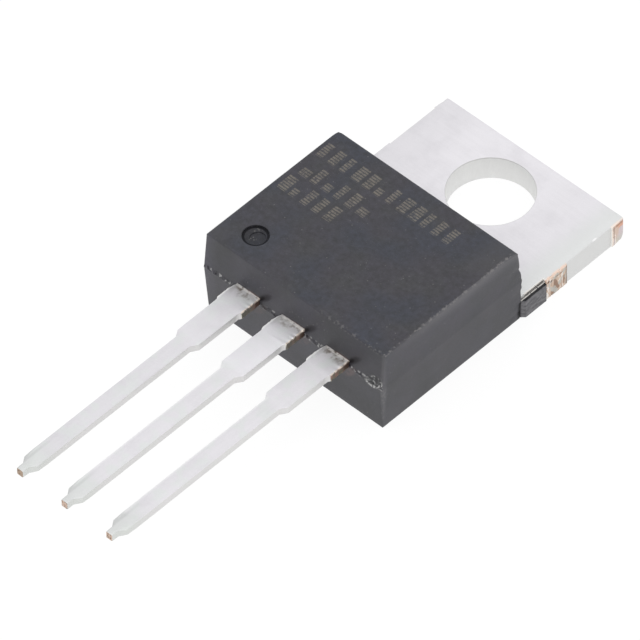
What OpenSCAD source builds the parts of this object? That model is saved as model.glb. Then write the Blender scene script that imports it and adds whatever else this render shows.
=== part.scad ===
// A three-lead voltage regulator in a moulded through-hole package with a mounting tab.
//
// Millimetres. The origin is on the axis of the mounting hole, in the seating plane on the back.
// +Z points from the seating plane to the marked face, +Y to the far edge of the tab, and the
// three leads run along -Y. The part lies on its back, which is how it comes to rest.

/* [Moulded body] */
// Width of the body at the parting line
body_w = 10.2; // [9.9:0.02:10.6]
// Length of the body at the parting line
body_len = 8.4; // [8.2:0.02:9.2]
// Thickness from the seating plane to the marked face
body_t = 4.5; // [4.4:0.02:4.8]
// How far each side leans in above the parting line
side_draft_top = 0.05; // [0.02:0.01:0.2]
// How far each side leans in below the parting line
side_draft_low = 0.16; // [0.05:0.01:0.25]
// How far the lead end leans in above the parting line
front_draft_top = 0.18; // [0.05:0.01:0.3]
// How far the lead end leans in below the parting line
front_draft_low = 0.15; // [0.05:0.01:0.25]
// How far the tab end leans in above the parting line
back_draft_top = 0.33; // [0.05:0.01:0.4]
// How far the tab end leans in below the parting line
back_draft_low = 0.04; // [0.01:0.01:0.1]
// Small flat that breaks the edges of the marked face
edge_break = 0.06; // [0.03:0.01:0.12]

/* [Ejector pin mark] */
// Diameter of the round mark on the marked face
ejector_d = 1.17; // [0.8:0.01:1.6]
// Depth of the mark
ejector_depth = 0.07; // [0.03:0.01:0.15]
// Diameter of the pin's own end, printed off centre inside the mark
ejector_pip_d = 0.7; // [0.4:0.01:0.75]
// Depth of the pin's end below the floor of the mark
ejector_pip_depth = 0.04; // [0.02:0.01:0.1]
// Distance from the body's centre line to the mark
ejector_x = 3.4; // [2.6:0.05:3.8]
// Distance from the lead end to the mark
ejector_from_front = 1.45; // [1.2:0.05:2.2]

/* [Tab] */
// Thickness of the tab
tab_t = 1.25; // [1.2:0.01:1.35]
// Width of the tab
tab_w = 10.04; // [9.9:0.02:10.3]
// Diameter of the mounting hole
hole_d = 3.84; // [3.6:0.02:4.0]
// Distance from the hole's centre to the far edge of the tab
hole_to_edge = 2.7; // [2.5:0.02:3.0]
// Distance from the hole's centre to the body
hole_to_body = 3.6; // [3.5:0.02:3.9]

/* [Sheared stubs on the tab] */
// Length of the tie bar's sheared stub on each side of the tab
tie_len = 1.3; // [0.8:0.02:1.6]
// How far the stub stands out from the side of the tab
tie_proud = 0.07; // [0.03:0.01:0.12]
// Distance from the body to the stub
tie_from_body = 1.5; // [1.2:0.02:1.7]
// Length of the sheared stub at each far corner
corner_stub_len = 0.75; // [0.4:0.02:1.0]
// How far the corner stub stands out where it starts
corner_stub_proud = 0.08; // [0.03:0.01:0.12]

/* [Ears of moulding beside the neck] */
// How far an ear stands out from the side of the tab
ear_proud = 0.08; // [0.04:0.01:0.12]
// How far an ear's top lies below the tab's upper face
ear_drop = 0.11; // [0.05:0.01:0.2]
// How far an ear is set in where it leaves the body's side
ear_inset = 0.03; // [0.01:0.01:0.06]
// Distance from the body to the slanted step of an ear
ear_from_body = 0.06; // [0.05:0.01:0.2]
// Length of that slanted step
ear_step = 0.19; // [0.1:0.01:0.4]

/* [Neck and die pad] */
// How far the tab's neck is set in from the body's side at the seating plane
neck_inset = 0.02; // [0.01:0.01:0.12]
// How far the neck's undercut runs in, to lock the moulding
neck_undercut = 0.4; // [0.2:0.01:0.5]
// Height of the upright band above the undercut
neck_land = 0.3; // [0.2:0.01:0.5]
// Width of the die pad inside the body
pad_w = 8.3; // [7.6:0.02:8.6]
// Distance from the lead end of the body to the die pad
pad_from_front = 2.1; // [1.9:0.02:2.6]
// Width of the ledge round the die pad that locks the moulding
pad_ledge = 0.3; // [0.15:0.01:0.5]
// Thickness of that ledge, measured down from the pad's upper face
pad_ledge_t = 0.6; // [0.4:0.02:0.8]

/* [Leads] */
// Distance between neighbouring leads
lead_pitch = 2.54; // [2.5:0.01:2.6]
// Thickness of the lead strip
lead_t = 0.38; // [0.34:0.01:0.5]
// Height of the leads' underside, where the two halves of the mould part
lead_z = 2.54; // [2.4:0.01:2.7]
// Width of a lead below its shoulder
lead_w = 0.81; // [0.7:0.01:0.9]
// Width of a lead's shoulder
shoulder_w = 1.24; // [1.14:0.01:1.4]
// Length of the shoulder outside the body
shoulder_len = 3.5; // [3.0:0.05:4.0]
// Length of the taper from the shoulder to the lead
shoulder_taper = 0.33; // [0.2:0.01:0.6]
// Length of a lead outside the body
lead_len = 13.42; // [8:0.02:14.5]
// Length of the dam bar's sheared stub beside the body
dam_len = 1.05; // [0.6:0.05:1.4]
// How far that stub stands out from each side of the shoulder
dam_proud = 0.08; // [0.03:0.01:0.12]
// Length over which that stub falls back to the shoulder
dam_taper = 0.12; // [0.05:0.01:0.2]

/* [Lead tips] */
// Width of the stub at the end of a lead
tip_w = 0.35; // [0.25:0.01:0.5]
// Length of that stub
tip_len = 0.37; // [0.2:0.01:0.6]
// Length of the taper from the lead to the stub
tip_taper = 0.3; // [0.15:0.01:0.6]
// Length of the coined bevels that run out along the lead
tip_bevel_len = 1.2; // [1:0.05:2]
// Depth of the coined bevels at the end of a lead
tip_bevel_depth = 0.09; // [0.04:0.01:0.13]
// How far the coined bevels reach in from each side at the end of a lead
tip_bevel_reach = 0.3; // [0.1:0.01:0.35]

/* [Inside the body] */
// Inner radius of the bends in the output lead
bend_r = 0.4; // [0.2:0.02:0.5]
// How steeply the output lead drops to the die pad
bend_angle = 60; // [50:1:70]
// Width of the output lead inside the body
inner_lead_w = 1.5; // [1.3:0.02:1.8]
// Width of an outer lead's bond post
post_w = 2.2; // [1.8:0.02:2.4]
// Length of the bond post
post_len = 1.15; // [0.9:0.02:1.3]
// Distance from the body's end to the bond post
post_from_front = 0.55; // [0.4:0.02:0.7]
// How far a bond post's centre lies outside its lead's centre
post_offset = 0.2; // [0.1:0.02:0.4]
// Width of the silicon die
die_w = 3.4; // [2.4:0.05:3.8]
// Length of the silicon die
die_len = 2.8; // [2:0.05:3.2]
// Thickness of the silicon die
die_t = 0.3; // [0.2:0.01:0.4]
// Distance from the lead edge of the die pad to the die
die_from_pad_edge = 0.7; // [0.5:0.02:1.0]
// Thickness of the solder under the die
solder_t = 0.05; // [0.03:0.01:0.1]
// Width of the solder's fillet round the die
solder_fillet = 0.12; // [0.05:0.01:0.25]

/* [Bond wires] */
// Diameter of the ground wire
signal_wire_d = 0.2; // [0.15:0.01:0.25]
// Diameter of the input and output wires
power_wire_d = 0.3; // [0.25:0.01:0.38]
// How far a wire's loop bulges above the straight line between its feet
wire_bulge = 0.6; // [0.5:0.02:0.7]
// Length of a wire's flattened foot
foot_len = 0.55; // [0.45:0.01:0.7]
// Thickness of a foot, as a share of the wire's diameter
foot_flatness = 0.6; // [0.5:0.05:0.8]
// Width of a foot, as a share of the wire's diameter
foot_spread = 1.5; // [1.2:0.05:1.8]
// Distance between the two input wires, and between the two output wires
wire_step = 0.9; // [0.7:0.02:1.0]
// Distance from the die's edge to the nearest wire foot
bond_margin = 0.5; // [0.4:0.02:0.6]

/* [Hidden] */
$fn = 96;

// Overrun of a cutting solid past the faces it cuts
cut = 1;
// Largest turn in one segment of a bend, in degrees
bend_step = 10;

// The moulded body, seen from above
body_back = -hole_to_body;
body_front = body_back - body_len;
half_body = body_w / 2;

// The lead strip
lead_top = lead_z + lead_t;
lead_tip = body_front - lead_len;
outer_lead_x = lead_pitch;

// The tab, seen from above
half_tab = tab_w / 2;
half_neck = half_body - side_draft_low - neck_inset;
tie_near = body_back + tie_from_body;
tie_far = tie_near + tie_len;
neck_end = body_back - back_draft_top;
pad_front = body_front + pad_from_front;
half_pad = pad_w / 2;
pad_shoulder = neck_end - (half_neck - half_pad) / 2;

// The blocks of moulding that fill the notches beside the tab's neck
ear_z = tab_t - ear_drop;
ear_half = half_tab + ear_proud;
ear_root = half_body - side_draft_low - ear_inset;
ear_start = body_back + ear_from_body;

// The die and what lies on it
die_front = pad_front + die_from_pad_edge;
die_z = tab_t + solder_t;
die_top = die_z + die_t;
bond_row = die_front + bond_margin;
post_mid = body_front + post_from_front + post_len / 2;
post_x = outer_lead_x + post_offset;

// Middle of the pad's bare strip beside the die, where the output wires land
down_bond_x = (die_w / 2 + half_pad) / 2;

// Both halves of an outline, from the points of its right half taken in order
function both_sides(right) = concat(
    right,
    [for (i = [len(right) - 1:-1:0]) [-right[i][0], right[i][1]]]
);

// Body: two drafted prisms cross at right angles, and share the parting plane
module body_blank() {
    side_lean = side_draft_top / (body_t - lead_z);
    front_lean = front_draft_top / (body_t - lead_z);
    back_lean = back_draft_top / (body_t - lead_z);
    break_z = body_t - edge_break;
    break_x = half_body - side_draft_top + side_lean * edge_break;
    break_front = body_front + front_draft_top - front_lean * edge_break;
    break_back = body_back - back_draft_top + back_lean * edge_break;
    intersection() {
        rotate([90, 0, 0])
            linear_extrude(height = 4 * body_len, center = true)
                polygon(both_sides([
                    [half_body - side_draft_low, 0],
                    [half_body, lead_z],
                    [break_x, break_z],
                    [break_x - edge_break, body_t]
                ]));
        rotate([90, 0, 90])
            linear_extrude(height = 2 * body_w, center = true)
                polygon([
                    [body_front + front_draft_low, 0],
                    [body_front, lead_z],
                    [break_front, break_z],
                    [break_front + edge_break, body_t],
                    [break_back - edge_break, body_t],
                    [break_back, break_z],
                    [body_back, lead_z],
                    [body_back + back_draft_low, 0]
                ]);
    }
}

// Moulding in the two notches beside the neck, with a step where it leaves the body's side
module ears() {
    linear_extrude(height = ear_z)
        polygon(both_sides([
            [ear_root, neck_end],
            [ear_root, ear_start],
            [ear_half, ear_start + ear_step],
            [ear_half, tie_near]
        ]));
}

module ejector_mark() {
    translate([-ejector_x, body_front + ejector_from_front, body_t]) {
        translate([0, 0, -ejector_depth])
            cylinder(d = ejector_d, h = ejector_depth + cut);
        translate([(ejector_d - ejector_pip_d) / 4, 0, -ejector_depth - ejector_pip_depth])
            cylinder(d = ejector_pip_d, h = ejector_pip_depth + cut);
    }
}

module moulded_body() {
    color("#4c4d51")
        difference() {
            union() {
                body_blank();
                ears();
            }
            ejector_mark();
            heatsink_tab();
            ground_lead();
            input_lead();
            die_attach_solder();
            silicon_die();
            ground_bond_wire();
            input_bond_wire_1();
            input_bond_wire_2();
            output_bond_wire_1();
            output_bond_wire_2();
        }
}

// Tab: one stamping of heavy strip, whose thin tongue is the output lead
module tab_blank() {
    linear_extrude(height = tab_t)
        polygon(both_sides([
            [half_tab, hole_to_edge],
            [half_tab + corner_stub_proud, hole_to_edge - corner_stub_len],
            [half_tab, hole_to_edge - corner_stub_len],
            [half_tab, tie_far],
            [half_tab + tie_proud, tie_far],
            [half_tab + tie_proud, tie_near],
            [half_neck, tie_near],
            [half_neck, neck_end],
            [half_pad, pad_shoulder],
            [half_pad, pad_front]
        ]));
}

// Undercut along both sides of the neck
module neck_undercuts() {
    for (side = [0, 1])
        mirror([side, 0, 0])
            translate([half_neck, tie_near, 0])
                rotate([90, 0, 0])
                    linear_extrude(height = tie_near - pad_shoulder)
                        polygon([
                            [cut, -cut],
                            [cut, tab_t - neck_land],
                            [0, tab_t - neck_land],
                            [-neck_undercut, 0],
                            [-neck_undercut, -cut]
                        ]);
}

// Rebate under the two sides and the lead edge of the die pad, which leaves its ledge
module pad_rebate() {
    rebate_z = tab_t - pad_ledge_t;
    difference() {
        translate([-half_tab, pad_front - cut, -cut])
            cube([tab_w, pad_shoulder - pad_front + cut, rebate_z + cut]);
        translate([-half_pad + pad_ledge, pad_front + pad_ledge, -2 * cut])
            cube([pad_w - 2 * pad_ledge, body_len, rebate_z + 4 * cut]);
    }
}

// Points of an arc in the plane of the strip's section, from one angle to another
function arc(centre, r, from, to) = [
    for (i = [0:ceil(abs(to - from) / bend_step)])
        let (a = from + (to - from) * i / ceil(abs(to - from) / bend_step))
            [centre[0] + r * cos(a), centre[1] + r * sin(a)]
];

// Section of the output lead: level outside, then two bends that bring it down to the pad
module output_lead_section() {
    drop = lead_top - tab_t;
    turn = bend_angle;
    mid_r = bend_r + lead_t / 2;
    ramp = (drop - 2 * mid_r * (1 - cos(turn))) / sin(turn);
    ramp_run = ramp * cos(turn);
    low_centre = [pad_front, tab_t + bend_r];
    high_centre = [
        pad_front - 2 * mid_r * sin(turn) - ramp_run,
        lead_top - lead_t - bend_r
    ];
    polygon(concat(
        [[pad_front + pad_ledge, tab_t], [pad_front + pad_ledge, tab_t - lead_t]],
        arc(low_centre, bend_r + lead_t, -90, -90 - turn),
        arc(high_centre, bend_r, 90 - turn, 90),
        [[lead_tip, lead_z], [lead_tip, lead_top]],
        arc(high_centre, bend_r + lead_t, 90, 90 - turn),
        arc(low_centre, bend_r, -90 - turn, -90)
    ));
}

// Right half of a lead's outline outside the body, about its own centre line, tip first
function lead_outline() = [
    [tip_w / 2, lead_tip],
    [tip_w / 2, lead_tip + tip_len],
    [lead_w / 2, lead_tip + tip_len + tip_taper],
    [lead_w / 2, body_front - shoulder_len - shoulder_taper],
    [shoulder_w / 2, body_front - shoulder_len],
    [shoulder_w / 2, body_front - dam_len - dam_taper],
    [shoulder_w / 2 + dam_proud, body_front - dam_len],
    [shoulder_w / 2 + dam_proud, body_front],
    [shoulder_w / 2, body_front]
];

// Coined bevels on the four long edges of a lead's end, deepest at its tip
module tip_bevels() {
    flare = atan2(tip_bevel_reach, tip_bevel_len);
    lean = atan2(tip_bevel_depth, tip_bevel_reach * cos(flare));
    for (side = [0, 1])
        for (face = [0, 1])
            mirror([side, 0, 0])
                translate([lead_w / 2, lead_tip + tip_bevel_len, lead_z + lead_t / 2])
                    mirror([0, 0, face])
                        translate([0, 0, lead_t / 2])
                            rotate([0, 0, -flare])
                                rotate([0, lean, 0])
                                    translate([-2 * lead_w, -2 * tip_bevel_len, 0])
                                        cube([4 * lead_w, 2 * tip_bevel_len, lead_t]);
}

// The lead outside the body, with the outline given for what lies inside it
module lead_blank(inner) {
    linear_extrude(height = 3 * body_t, center = true)
        polygon(both_sides(concat(lead_outline(), inner)));
}

module heatsink_tab() {
    color("#d9d9dd")
        difference() {
            union() {
                difference() {
                    tab_blank();
                    neck_undercuts();
                    pad_rebate();
                    translate([0, 0, -cut])
                        cylinder(d = hole_d, h = tab_t + 2 * cut);
                }
                intersection() {
                    rotate([90, 0, 90])
                        linear_extrude(height = tab_w, center = true)
                            output_lead_section();
                    lead_blank([
                        [inner_lead_w / 2, body_front + post_from_front],
                        [inner_lead_w / 2, pad_front + pad_ledge]
                    ]);
                }
            }
            tip_bevels();
        }
}

// An outer lead: flat strip with a bond post inside the body, offset to the outside
module outer_lead(side) {
    post_in = body_front + post_from_front;
    color("#d6d6da")
        difference() {
            union() {
                translate([side * outer_lead_x, 0, lead_z])
                    linear_extrude(height = lead_t)
                        polygon(both_sides(concat(
                            lead_outline(),
                            [[shoulder_w / 2, post_in + post_len / 2]]
                        )));
                translate([side * post_x - post_w / 2, post_in, lead_z])
                    cube([post_w, post_len, lead_t]);
            }
            translate([side * outer_lead_x, 0, 0])
                tip_bevels();
        }
}

module ground_lead() {
    outer_lead(-1);
}

module input_lead() {
    outer_lead(1);
}

module silicon_die() {
    color("#5b6472")
        translate([-die_w / 2, die_front, die_z])
            cube([die_w, die_len, die_t]);
}

module die_attach_solder() {
    color("#9aa0a6")
        translate([-die_w / 2 - solder_fillet, die_front - solder_fillet, tab_t])
            cube([die_w + 2 * solder_fillet, die_len + 2 * solder_fillet, solder_t]);
}

// A bond wire: an arc of round wire in an upright plane, with a flattened foot at each end
module bond_wire(from, to, d) {
    foot_h = d * foot_flatness;
    foot_w = d * foot_spread;
    run = norm([to[0] - from[0], to[1] - from[1]]);
    rise = to[2] - from[2];
    chord = norm([run, rise]);
    loop_r = (chord * chord / 4 + wire_bulge * wire_bulge) / (2 * wire_bulge);
    half_turn = asin(chord / 2 / loop_r);
    color("#c9ccd1")
        translate(from)
            rotate([0, 0, atan2(to[1] - from[1], to[0] - from[0])]) {
                translate([0, 0, foot_h])
                    rotate([0, -atan2(rise, run), 0])
                        translate([chord / 2, 0, wire_bulge - loop_r])
                            rotate([90, 0, 0])
                                rotate([0, 0, 90 - half_turn])
                                    rotate_extrude(angle = 2 * half_turn)
                                        translate([loop_r, 0])
                                            circle(d = d, $fn = 32);
                for (end = [[0, 0], [run, rise]])
                    translate([end[0] - foot_len / 2, -foot_w / 2, end[1]])
                        cube([foot_len, foot_w, foot_h]);
            }
}

module ground_bond_wire() {
    bond_wire(
        [-die_w / 2 + bond_margin, bond_row, die_top],
        [-post_x, post_mid, lead_top],
        signal_wire_d
    );
}

module input_bond_wire_1() {
    bond_wire(
        [die_w / 2 - bond_margin - wire_step, bond_row, die_top],
        [post_x - wire_step / 2, post_mid, lead_top],
        power_wire_d
    );
}

module input_bond_wire_2() {
    bond_wire(
        [die_w / 2 - bond_margin, bond_row, die_top],
        [post_x + wire_step / 2, post_mid, lead_top],
        power_wire_d
    );
}

// Each output wire runs sideways from the die down to the pad beside it
module output_bond_wire(row) {
    bond_wire(
        [-down_bond_x, die_front + row, tab_t],
        [-die_w / 2 + bond_margin, die_front + row, die_top],
        power_wire_d
    );
}

module output_bond_wire_1() {
    output_bond_wire(die_len - bond_margin);
}

module output_bond_wire_2() {
    output_bond_wire(die_len - bond_margin - wire_step);
}

moulded_body();
heatsink_tab();
ground_lead();
input_lead();
silicon_die();
die_attach_solder();
ground_bond_wire();
input_bond_wire_1();
input_bond_wire_2();
output_bond_wire_1();
output_bond_wire_2();
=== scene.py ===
# %% [markdown]
# A three-lead voltage regulator: a black moulded body, a tinned copper tab with a round hole, and
# three flat leads. It lies on its back, as such a part does when it is put down on a bench.
#
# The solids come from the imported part. Blender gives them the finish that a real one has: rounded
# stamped edges, sheared copper, matt tin, and epoxy with its mould flash. Everything is in metres,
# in the frame of the part. The mounting hole's axis is the Z axis, and the seating plane is Z = 0.

# %% Load the part
from math import copysign, cos, exp, hypot, radians, sin

import bmesh
import bpy
from mathutils import Matrix, Vector, noise
from mathutils.bvhtree import BVHTree


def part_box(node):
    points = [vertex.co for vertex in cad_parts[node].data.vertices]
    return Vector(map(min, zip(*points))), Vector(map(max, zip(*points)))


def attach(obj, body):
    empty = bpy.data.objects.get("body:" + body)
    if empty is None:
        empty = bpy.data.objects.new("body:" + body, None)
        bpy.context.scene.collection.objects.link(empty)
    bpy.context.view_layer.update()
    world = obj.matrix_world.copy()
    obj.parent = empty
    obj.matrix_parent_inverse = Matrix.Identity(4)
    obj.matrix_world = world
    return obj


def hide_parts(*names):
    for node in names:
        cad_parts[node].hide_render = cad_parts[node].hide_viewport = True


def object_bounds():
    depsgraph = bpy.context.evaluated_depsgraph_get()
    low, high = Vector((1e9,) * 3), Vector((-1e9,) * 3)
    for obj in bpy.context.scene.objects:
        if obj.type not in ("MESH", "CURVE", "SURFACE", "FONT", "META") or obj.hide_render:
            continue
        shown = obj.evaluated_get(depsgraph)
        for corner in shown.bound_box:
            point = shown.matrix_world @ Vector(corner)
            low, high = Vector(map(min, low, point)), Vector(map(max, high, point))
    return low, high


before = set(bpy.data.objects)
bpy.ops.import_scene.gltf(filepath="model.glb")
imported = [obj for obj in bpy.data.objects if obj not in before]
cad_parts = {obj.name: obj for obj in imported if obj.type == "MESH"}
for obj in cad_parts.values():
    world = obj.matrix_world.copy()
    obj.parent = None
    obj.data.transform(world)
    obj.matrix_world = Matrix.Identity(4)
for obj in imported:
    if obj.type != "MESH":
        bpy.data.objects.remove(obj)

MM = 0.001
solid_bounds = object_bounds()
part_size = (solid_bounds[1] - solid_bounds[0]) / MM
print("The part measures", [round(side, 2) for side in part_size], "mm")

# %% [markdown]
# The camera stands where the photographer stood: about 45 degrees round to the right of the leads
# and 48 degrees up, half a metre away, with a long lens. A long lens keeps the edges of so small a
# part nearly parallel. The camera could be aimed with a constraint, but its three axes are written
# out here, because the picture is also tilted by a small roll.

# %% Place the camera
VIEW_AZIMUTH = radians(44.63)
VIEW_ELEVATION = radians(48.0)
VIEW_ROLL = radians(-1.4)
VIEW_DISTANCE = 543.9 * MM
FOCAL_LENGTH = 741
AIM = Vector((0.37, -10.71, 2.25)) * MM

back = Vector((
    sin(VIEW_AZIMUTH) * cos(VIEW_ELEVATION),
    -cos(VIEW_AZIMUTH) * cos(VIEW_ELEVATION),
    sin(VIEW_ELEVATION),
))
level = Vector((cos(VIEW_AZIMUTH), sin(VIEW_AZIMUTH), 0))
upward = back.cross(level)
right = level * cos(VIEW_ROLL) + upward * sin(VIEW_ROLL)

camera = bpy.data.objects.new("camera", bpy.data.cameras.new("camera"))
camera.data.lens = FOCAL_LENGTH
camera.matrix_world = Matrix.Translation(AIM + back * VIEW_DISTANCE) @ Matrix((
    right,
    back.cross(right),
    back,
)).transposed().to_4x4()
bpy.context.scene.collection.objects.link(camera)
bpy.context.scene.camera = camera
print("The camera looks from", [round(x, 3) for x in camera.location], "m")

# %% [markdown]
# A small shiny part is photographed in a light tent: white cloth all round, on a table lit from
# below so that it throws almost no shadow. The tent is the world's colour. One large soft lamp
# stands above the camera, so the faces that look up are a little lighter than the sides, and no
# flat metal face mirrors it. The plain "Standard" view keeps white cloth white.

# %% Light the tent
TENT_STRENGTH = 0.93
LAMP_SIZE = 360 * MM
LAMP_POWER = 0.42
LAMP_PLACE = Vector((70, -180, 440)) * MM

world = bpy.data.worlds.new("light_tent")
world.use_nodes = True
tent = world.node_tree.nodes["Background"]
tent.inputs["Color"].default_value = (1.0, 1.0, 1.0, 1.0)
tent.inputs["Strength"].default_value = TENT_STRENGTH
bpy.context.scene.world = world

lamp = bpy.data.objects.new("softbox", bpy.data.lights.new("softbox", "AREA"))
lamp.data.shape = "DISK"
lamp.data.size = LAMP_SIZE
lamp.data.energy = LAMP_POWER
lamp.location = LAMP_PLACE
lamp.rotation_euler = (AIM - LAMP_PLACE).to_track_quat("-Z", "Y").to_euler()
bpy.context.scene.collection.objects.link(lamp)
bpy.context.scene.view_settings.view_transform = "Standard"

# %% [markdown]
# A material is a small sum over the surface: base colour plus stains, times wear, and so on. Such
# sums are long to build from single nodes. The class below wraps one output socket, so that a
# sum can be written as Python arithmetic, and each operator adds the node that does it.

# %% Wrap a socket for arithmetic
class Wire:
    """One output of a shader node. Arithmetic on wires adds the nodes that work it out."""

    def __init__(self, tree, socket=None):
        self.tree = tree
        self.socket = socket

    def node(self, kind, settings=(), inputs=(), output=0):
        """Adds a node: first its settings, then values or wires on its inputs."""
        made = self.tree.nodes.new("ShaderNode" + kind)
        for name, value in dict(settings).items():
            setattr(made, name, value)
        for name, value in dict(inputs).items():
            if isinstance(value, Wire):
                self.tree.links.new(value.socket, made.inputs[name])
            else:
                made.inputs[name].default_value = value
        return Wire(self.tree, made.outputs[output])

    def work(self, operation, first, second):
        """One operator on two terms, on numbers, vectors or colours as the terms are."""
        kinds = {term.socket.type for term in (first, second) if isinstance(term, Wire)}
        if "RGBA" in kinds:
            terms = [self.filled(term, 4) for term in (first, second)]
            settings = {"data_type": "RGBA", "blend_type": operation, "clamp_factor": False}
            return self.node("Mix", settings, {0: 1.0, 6: terms[0], 7: terms[1]}, output=2)
        if "VECTOR" in kinds:
            terms = [self.filled(term, 3) for term in (first, second)]
            return self.node("VectorMath", {"operation": operation}, {0: terms[0], 1: terms[1]})
        return self.node("Math", {"operation": operation}, {0: first, 1: second})

    @staticmethod
    def filled(term, length):
        """A plain number as a grey colour or an even vector. Other terms stay as they are."""
        return (term, term, term, 1.0)[:length] if isinstance(term, (int, float)) else term

    def __add__(self, other):
        return self.work("ADD", self, other)

    def __radd__(self, other):
        return self.work("ADD", other, self)

    def __sub__(self, other):
        return self.work("SUBTRACT", self, other)

    def __rsub__(self, other):
        return self.work("SUBTRACT", other, self)

    def __mul__(self, other):
        return self.work("MULTIPLY", self, other)

    def __rmul__(self, other):
        return self.work("MULTIPLY", other, self)

    def __abs__(self):
        return self.node("Math", {"operation": "ABSOLUTE"}, {0: self})

    def ramp(self, low, high):
        """A smooth step: 0 where the number is at low, and 1 where it is at high."""
        settings = {"interpolation_type": "SMOOTHSTEP"}
        return self.node("MapRange", settings, {0: self, 1: low, 2: high, 3: 0.0, 4: 1.0})

    def within(self, low, high, soft):
        """1 where the number lies between low and high, and falls to 0 over soft outside them."""
        return self.ramp(low - soft, low) * self.ramp(high + soft, high)

    def wrap(self, low, high):
        """The number brought between low and high, by whole steps of their distance."""
        return self.node("Math", {"operation": "WRAP"}, {0: self, 1: high, 2: low})

    def toward(self, colour, share):
        """This colour, moved towards another one by a share that may change over the surface."""
        return self.node("Mix", {"data_type": "RGBA"}, {0: share, 6: self, 7: colour}, output=2)


def distance(first, second):
    """How far a place is from a middle, worked out from its two offsets."""
    return first.node("Math", {"operation": "SQRT"}, {0: first * first + second * second})


# %% [markdown]
# Every finish starts the same way: with a Principled shader, the place on the part in millimetres,
# and the direction that the surface faces. Nothing is unwrapped, because a pattern worked out from
# the place runs on from face to face, as a stain or a grain does. Colours are given as they look on
# a screen, and one function turns them into light.

# %% Start a material
def rgb(red, green, blue):
    """A colour from screen values of 0 to 255, as the linear numbers that a shader needs."""
    linear = [((value / 255 + 0.055) / 1.055) ** 2.4 for value in (red, green, blue)]
    return (*linear, 1.0)


class Finish:
    """A material in the making, with the place and direction of the surface as wires."""

    def __init__(self, name):
        self.material = bpy.data.materials.new(name)
        self.material.use_nodes = True
        self.tree = self.material.node_tree
        self.shader = self.tree.nodes["Principled BSDF"]
        self.start = Wire(self.tree)
        self.place = self.start.node("TexCoord", output="Object") * (1 / MM)
        self.x, self.y, self.z = self.parts(self.place)
        self.nx, self.ny, self.nz = self.parts(self.start.node("TexCoord", output="Normal"))

    def parts(self, vector):
        """The three numbers of a vector, as wires."""
        return [self.start.node("SeparateXYZ", (), {0: vector}, output=axis) for axis in "XYZ"]

    def noise(self, size, detail=2.0, place=None, roughness=0.5, distortion=0.0):
        """Cloudy noise from 0 to 1, whose patches are about size millimetres across."""
        return self.start.node("TexNoise", (), {
            "Vector": place or self.place,
            "Scale": 1 / size,
            "Detail": detail,
            "Roughness": roughness,
            "Distortion": distortion,
        })

    def specks(self, spacing, radius, share):
        """Small spots on scattered points. A share of them shows, in clusters."""
        near = self.start.node("TexVoronoi", (), {"Vector": self.place, "Scale": 1 / spacing})
        spot = near.ramp(radius / spacing, 0.5 * radius / spacing)
        return spot * self.noise(2.3 * spacing, 0.0).ramp(0.72 - share, 0.76 - share)

    def colour(self, red, green, blue):
        """A plain colour as a wire, to start a sum with."""
        plain = rgb(red, green, blue)
        return self.start.node("Mix", {"data_type": "RGBA"}, {0: 0.0, 6: plain, 7: plain}, output=2)

    def bump(self, height, depth):
        """A surface direction that follows a height from 0 to 1, which stands for depth mm."""
        return self.start.node("Bump", (), {"Height": height, "Distance": depth * MM})

    def set(self, name, value):
        """A wire or a plain value on one of the shader's sockets."""
        socket = self.shader.inputs[name]
        if isinstance(value, Wire):
            self.tree.links.new(value.socket, socket)
        else:
            socket.default_value = value


# %% [markdown]
# The table is a sheet of opal glass, lit from below. A plain white sheet would turn dark where the
# part stands on it. This one gives most of its light itself, so only a faint shadow is left.

# %% Lay the floor
FLOOR_REACH = 1.2
FLOOR_GREY = 0.12
FLOOR_GLOW = 0.9

floor_mesh = bpy.data.meshes.new("floor")
floor_mesh.from_pydata(
    [(-FLOOR_REACH, -FLOOR_REACH, 0), (FLOOR_REACH, -FLOOR_REACH, 0),
     (FLOOR_REACH, FLOOR_REACH, 0), (-FLOOR_REACH, FLOOR_REACH, 0)],
    [],
    [(0, 1, 2, 3)],
)
floor = bpy.data.objects.new("floor", floor_mesh)
bpy.context.scene.collection.objects.link(floor)
opal = Finish("opal_table")
opal.set("Base Color", (FLOOR_GREY, FLOOR_GREY, FLOOR_GREY, 1.0))
opal.set("Roughness", 1.0)
opal.set("Specular IOR Level", 0.0)
opal.set("Emission Color", (1.0, 1.0, 1.0, 1.0))
opal.set("Emission Strength", FLOOR_GLOW)
floor_mesh.materials.append(opal.material)

# %% [markdown]
# The solids have perfectly sharp edges. A stamped or moulded one never has: each edge is rounded,
# torn or dressed with flash. A Bevel modifier on the solid could round all its edges alike. Here
# the shapes are worked on in mesh code, because the wear differs from place to place.
#
# First the triangles of each flat face are joined, so that only the real edges are left. The mesh
# is kept in millimetres while it is worked on.

# %% Copy a solid to work on
WELD = 0.0005
FLAT = radians(1)


def solid_mesh(node):
    """A solid's mesh in millimetres, with the triangles of each flat face joined into one."""
    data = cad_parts[node].data
    mesh = bmesh.new()
    points = [mesh.verts.new(vertex.co / MM) for vertex in data.vertices]
    for polygon in data.polygons:
        mesh.faces.new([points[index] for index in polygon.vertices])
    bmesh.ops.remove_doubles(mesh, verts=mesh.verts, dist=WELD)
    bmesh.ops.dissolve_limit(mesh, angle_limit=FLAT, verts=mesh.verts, edges=mesh.edges)
    mesh.normal_update()
    return mesh


# %% [markdown]
# Only the edges that show are rounded. Where a lead leaves the moulding, both pieces keep their
# sharp edge, so that no gap opens between them. A search tree of each solid tells what touches it.

# %% Find the edges that show
TOUCH = 0.003
SHARP = radians(25)

walls = {}
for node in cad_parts:
    solid = solid_mesh(node)
    walls[node] = BVHTree.FromBMesh(solid)
    solid.free()


def shows(point, node):
    """True where no other piece lies against this point of a node."""
    return all(
        walls[other].find_nearest(point, TOUCH)[0] is None
        for other in walls if other != node
    )


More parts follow.
